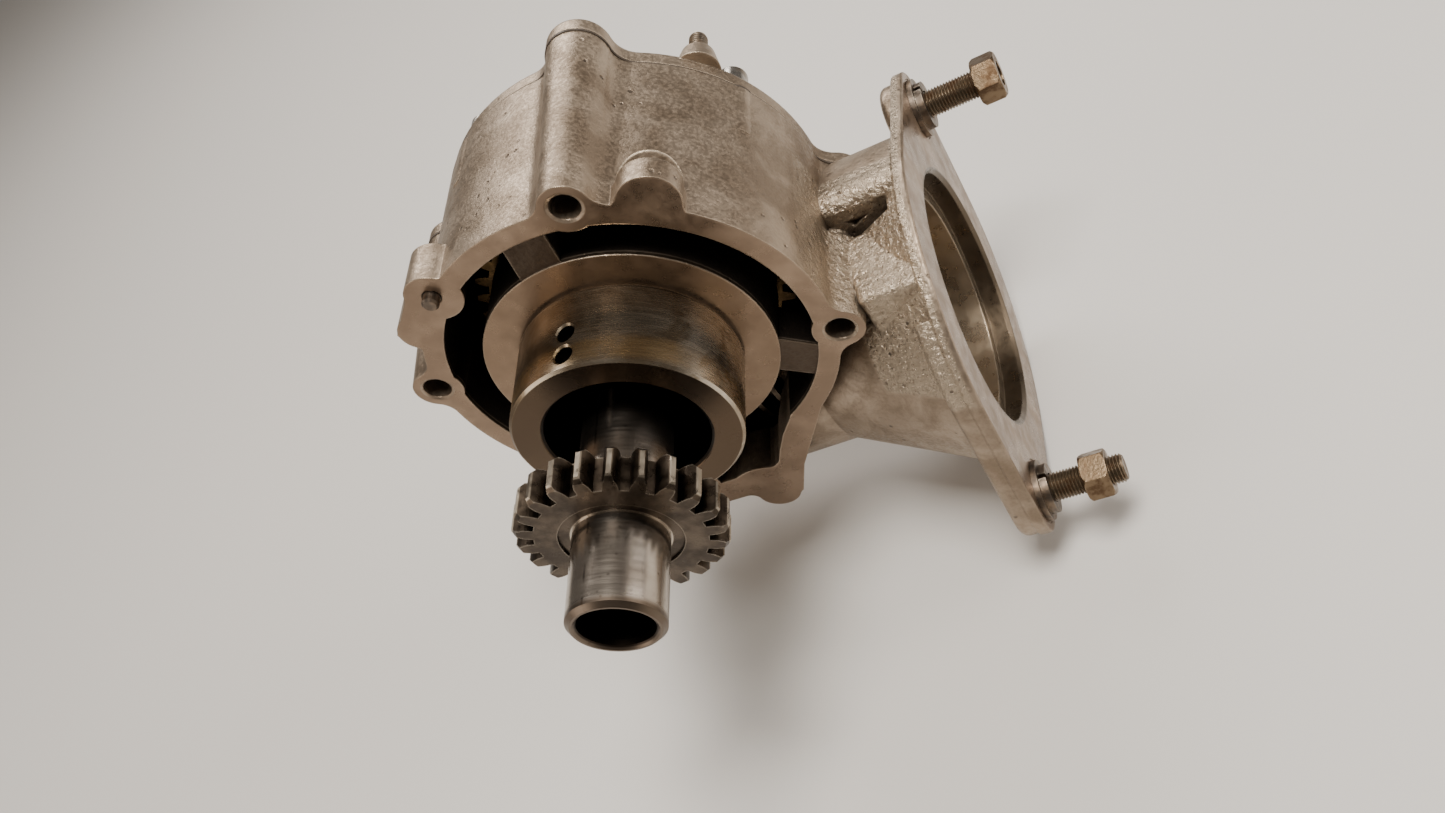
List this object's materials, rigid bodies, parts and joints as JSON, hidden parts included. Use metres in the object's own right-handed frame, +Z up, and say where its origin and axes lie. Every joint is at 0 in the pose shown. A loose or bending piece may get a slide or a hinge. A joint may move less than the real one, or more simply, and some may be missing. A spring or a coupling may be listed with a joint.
{
  "type": "right-angle worm gearbox",
  "caption": "Right-angle worm gearbox: cast housing with a stud-mounted input port, a front sleeve and a hollow output shaft carrying a spur pinion.",
  "frame": {"origin": "centre of the front mounting face, on the output shaft axis", "axes": "+Y runs back along the output shaft, so the pinion and nose point along -Y; +X points out of the input port; +Z is up"},
  "size_m": [0.1959, 0.1991, 0.1999],
  "materials": {
    "cast_aluminium": "cast skin, machined joint faces, worn and oil-stained",
    "ground_steel": "ground, satin, lightly tarnished",
    "gear_steel": "oily, bright on the tooth lands",
    "dark_steel": "blackened and oily",
    "rusty_steel": "brown surface rust on rolled thread",
    "worn_plated_steel": "yellowed plating worn on the corners",
    "plated_steel": "satin",
    "bronze": "machined, oily",
    "bearing_steel": "polished",
    "cage_steel": "pressed, satin",
    "gasket_paper": "compressed, oil-soaked"
  },
  "bodies": {
    "housing_body": {"housing": "cast_aluminium", "front_sleeve": "ground_steel", "flange_dowel": "dark_steel", "rear_cover": "cast_aluminium", "cover_gasket": "gasket_paper", "cover_screws": "plated_steel", "cover_stud": "dark_steel", "port_studs": "rusty_steel", "port_plain_washers": "dark_steel", "port_lock_washers": "dark_steel", "port_nuts": "worn_plated_steel", "port_circlip": "dark_steel", "worm_tail_bushing": "bronze", "tunnel_plug": "plated_steel", "front_bearing_outer_race": "bearing_steel", "rear_bearing_outer_race": "bearing_steel", "worm_bearing_outer_race": "bearing_steel"},
    "shaft_body": {"output_shaft": "ground_steel", "pinion": "gear_steel", "worm_wheel": "bronze", "wheel_key": "plated_steel", "shaft_circlip": "dark_steel", "front_spacer": "plated_steel", "rear_spacer": "plated_steel", "front_bearing_inner_race": "bearing_steel", "rear_bearing_inner_race": "bearing_steel"},
    "worm_body": {"worm_shaft": "gear_steel", "worm_bearing_inner_race": "bearing_steel"},
    "front_cage_body": {"front_bearing_cage": "cage_steel", "front_bearing_balls": "bearing_steel"},
    "rear_cage_body": {"rear_bearing_cage": "cage_steel", "rear_bearing_balls": "bearing_steel"},
    "worm_cage_body": {"worm_bearing_cage": "cage_steel", "worm_bearing_balls": "bearing_steel"}
  },
  "joints": [
    {"name": "output_shaft_spin", "type": "hinge", "parent": "housing_body", "child": "shaft_body", "pos_m": [0, 0, 0], "axis": [0, 1, 0], "continuous": true},
    {"name": "worm_spin", "type": "hinge", "parent": "housing_body", "child": "worm_body", "pos_m": [0, 0.0365, -0.065], "axis": [1, 0, 0], "continuous": true},
    {"name": "front_cage_spin", "type": "hinge", "parent": "housing_body", "child": "front_cage_body", "pos_m": [0, 0, 0], "axis": [0, 1, 0], "continuous": true},
    {"name": "rear_cage_spin", "type": "hinge", "parent": "housing_body", "child": "rear_cage_body", "pos_m": [0, 0, 0], "axis": [0, 1, 0], "continuous": true},
    {"name": "worm_cage_spin", "type": "hinge", "parent": "housing_body", "child": "worm_cage_body", "pos_m": [0, 0.0365, -0.065], "axis": [1, 0, 0], "continuous": true}
  ],
  "couplings": [
    {"joint": "worm_spin", "follows": "output_shaft_spin", "ratio": 20},
    {"joint": "front_cage_spin", "follows": "output_shaft_spin", "ratio": 0.3918},
    {"joint": "rear_cage_spin", "follows": "output_shaft_spin", "ratio": 0.3961},
    {"joint": "worm_cage_spin", "follows": "output_shaft_spin", "ratio": 7.922}
  ]
}
